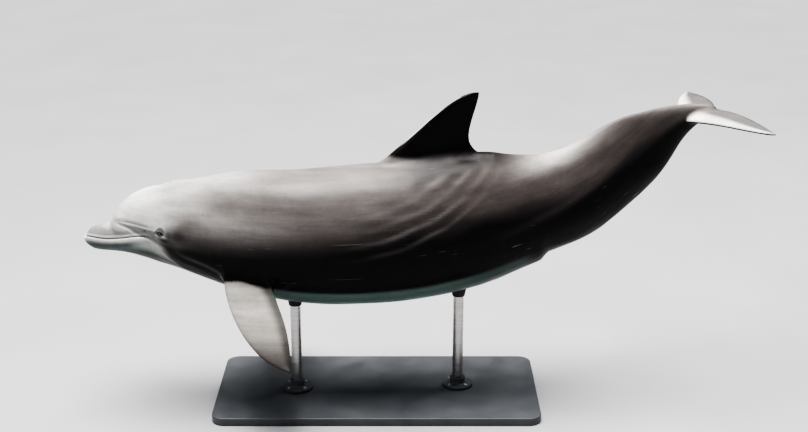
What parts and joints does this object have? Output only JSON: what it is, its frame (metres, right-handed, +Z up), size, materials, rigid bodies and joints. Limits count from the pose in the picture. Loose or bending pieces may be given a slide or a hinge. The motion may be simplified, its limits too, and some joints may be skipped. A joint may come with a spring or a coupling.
{
  "type": "bottlenose dolphin model on display stand",
  "caption": "Life-size bottlenose dolphin, swimming with the tail raised, held by rods on a flat base.",
  "frame": {"origin": "centre of the bounding box in plan, on the floor plane under the stand's base", "axes": "+Z up; head towards -X and tail towards +X; the animal's left side faces -Y"},
  "size_m": [2.6154, 0.933, 1.2276],
  "materials": {
    "skin": "smooth, close-grained grey skin with a satin, slightly wet sheen; paler on the head, flippers and belly, near black on the dorsal fin",
    "eye": "dark polished glass eye",
    "stand_coating": "fine-textured charcoal powder coating",
    "stand_steel": "fine brushed stainless steel"
  },
  "bodies": {
    "root": {"upper_jaw": "skin", "lower_jaw": "skin", "head": "skin", "neck": "skin", "chest": "skin", "abdomen": "skin", "loin": "skin", "tail_stock_front": "skin", "tail_stock_rear": "skin", "dorsal_fin": "skin", "flipper_left": "skin", "flipper_right": "skin", "fluke_left": "skin", "fluke_right": "skin", "eye_left": "eye", "eye_right": "eye", "stand_base": "stand_coating", "stand_flange_front": "stand_coating", "stand_flange_rear": "stand_coating", "stand_rod_front": "stand_steel", "stand_rod_rear": "stand_steel"}
  },
  "joints": []
}
